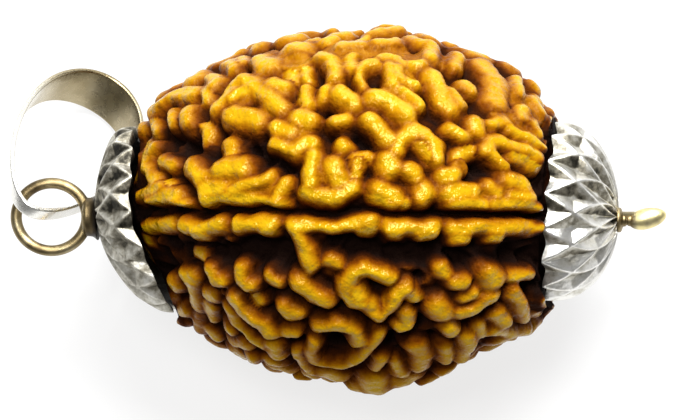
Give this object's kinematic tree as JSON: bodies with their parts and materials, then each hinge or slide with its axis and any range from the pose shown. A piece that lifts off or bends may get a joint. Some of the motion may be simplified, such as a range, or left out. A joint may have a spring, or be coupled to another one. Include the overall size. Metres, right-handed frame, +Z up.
{
  "type": "rudraksha seed pendant",
  "caption": "Ridged rudraksha seed strung on a headed wire pin between two silver petal caps, with an eye and a tapered bail ring.",
  "frame": {"origin": "middle of the small flat spot on the belly that the seed rests on", "axes": "+X along the pin from the eye to the ball head, +Z up from the surface it rests on"},
  "size_m": [0.0504, 0.0271, 0.0264],
  "materials": {
    "seed": "oiled golden brown ridges, dark crevices",
    "cap_silver": "pressed silver, darkened in the hollows",
    "wire_silver": "drawn silver wire, slightly tarnished",
    "bail_silver": "polished silver strip, warm tarnish"
  },
  "bodies": {
    "root": {"seed": "seed", "cap_eye_end": "cap_silver", "cap_head_end": "cap_silver", "pin": "wire_silver"},
    "bail": {"bail": "bail_silver"}
  },
  "joints": [
    {"name": "bail_swing", "type": "hinge", "parent": "root", "child": "bail", "pos_m": [-0.02392, 0.00124, 0.01343], "axis": [0.5884, 0.7071, 0.3923], "range_deg": [0, 180]}
  ]
}
